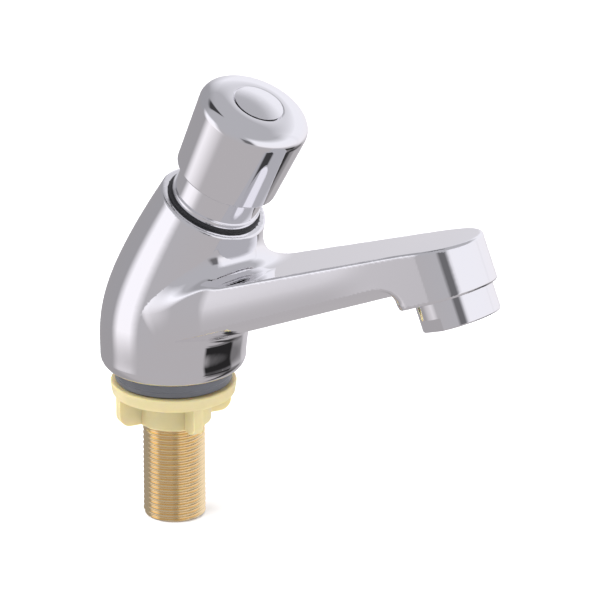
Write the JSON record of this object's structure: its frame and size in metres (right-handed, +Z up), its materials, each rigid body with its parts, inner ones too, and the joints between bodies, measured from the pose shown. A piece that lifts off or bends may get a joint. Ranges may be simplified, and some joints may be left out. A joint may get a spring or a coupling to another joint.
{
  "type": "push timed tap",
  "caption": "Self-closing pillar tap: a push button on a leaning chromed body, a fixed rising spout with an aerator, and a threaded brass shank with a winged plastic back nut.",
  "frame": {"origin": "On the shank's axis, on the underside of the base ring, where the tap stands on the deck.", "axes": "+Z up along the shank's axis; +X towards the spout's outlet; the body is symmetric about the XZ plane. The button's axis leans 25.8 degrees from +Z towards +X."},
  "size_m": [0.1523, 0.0496, 0.1599],
  "materials": {
    "chrome": "polished",
    "satin_chrome": "satin",
    "thread_brass": "machined",
    "inner_brass": "machined",
    "stainless_steel": "drawn",
    "black_rubber": "matte",
    "white_plastic": "moulded",
    "nut_plastic": "translucent moulded"
  },
  "bodies": {
    "body": {"body_casting": "chrome", "threaded_shank": "thread_brass", "shank_o_ring": "black_rubber", "base_ring": "black_rubber", "inlet_filter": "white_plastic", "valve_seat": "inner_brass", "cartridge_cylinder": "white_plastic", "cylinder_o_ring": "black_rubber", "guide_bush": "white_plastic", "spindle_o_ring": "black_rubber", "metering_pin": "stainless_steel", "guide_sleeve": "chrome", "mouth_seal": "black_rubber", "aerator_housing": "chrome", "aerator_insert": "white_plastic", "aerator_screen": "stainless_steel", "flow_regulator": "white_plastic", "aerator_gasket": "black_rubber", "return_spring": "stainless_steel"},
    "button": {"button_cap": "chrome", "index_disc": "satin_chrome", "cap_screw": "stainless_steel", "spindle": "inner_brass", "piston": "inner_brass", "piston_lip_seal": "black_rubber", "valve_washer": "black_rubber", "valve_disc": "inner_brass", "valve_nut": "inner_brass"},
    "nut": {"back_nut": "nut_plastic"}
  },
  "joints": [
    {"name": "button_press", "type": "slide", "parent": "body", "child": "button", "axis": [-0.4352, 0, -0.9003], "range_m": [0, 0.007], "stiffness_N_per_m": 2500, "springref_m": -0.003, "deforming": ["return_spring"]},
    {"name": "nut_travel", "type": "slide", "parent": "body", "child": "nut", "axis": [0, 0, -1], "range_m": [0, 0.033]}
  ]
}
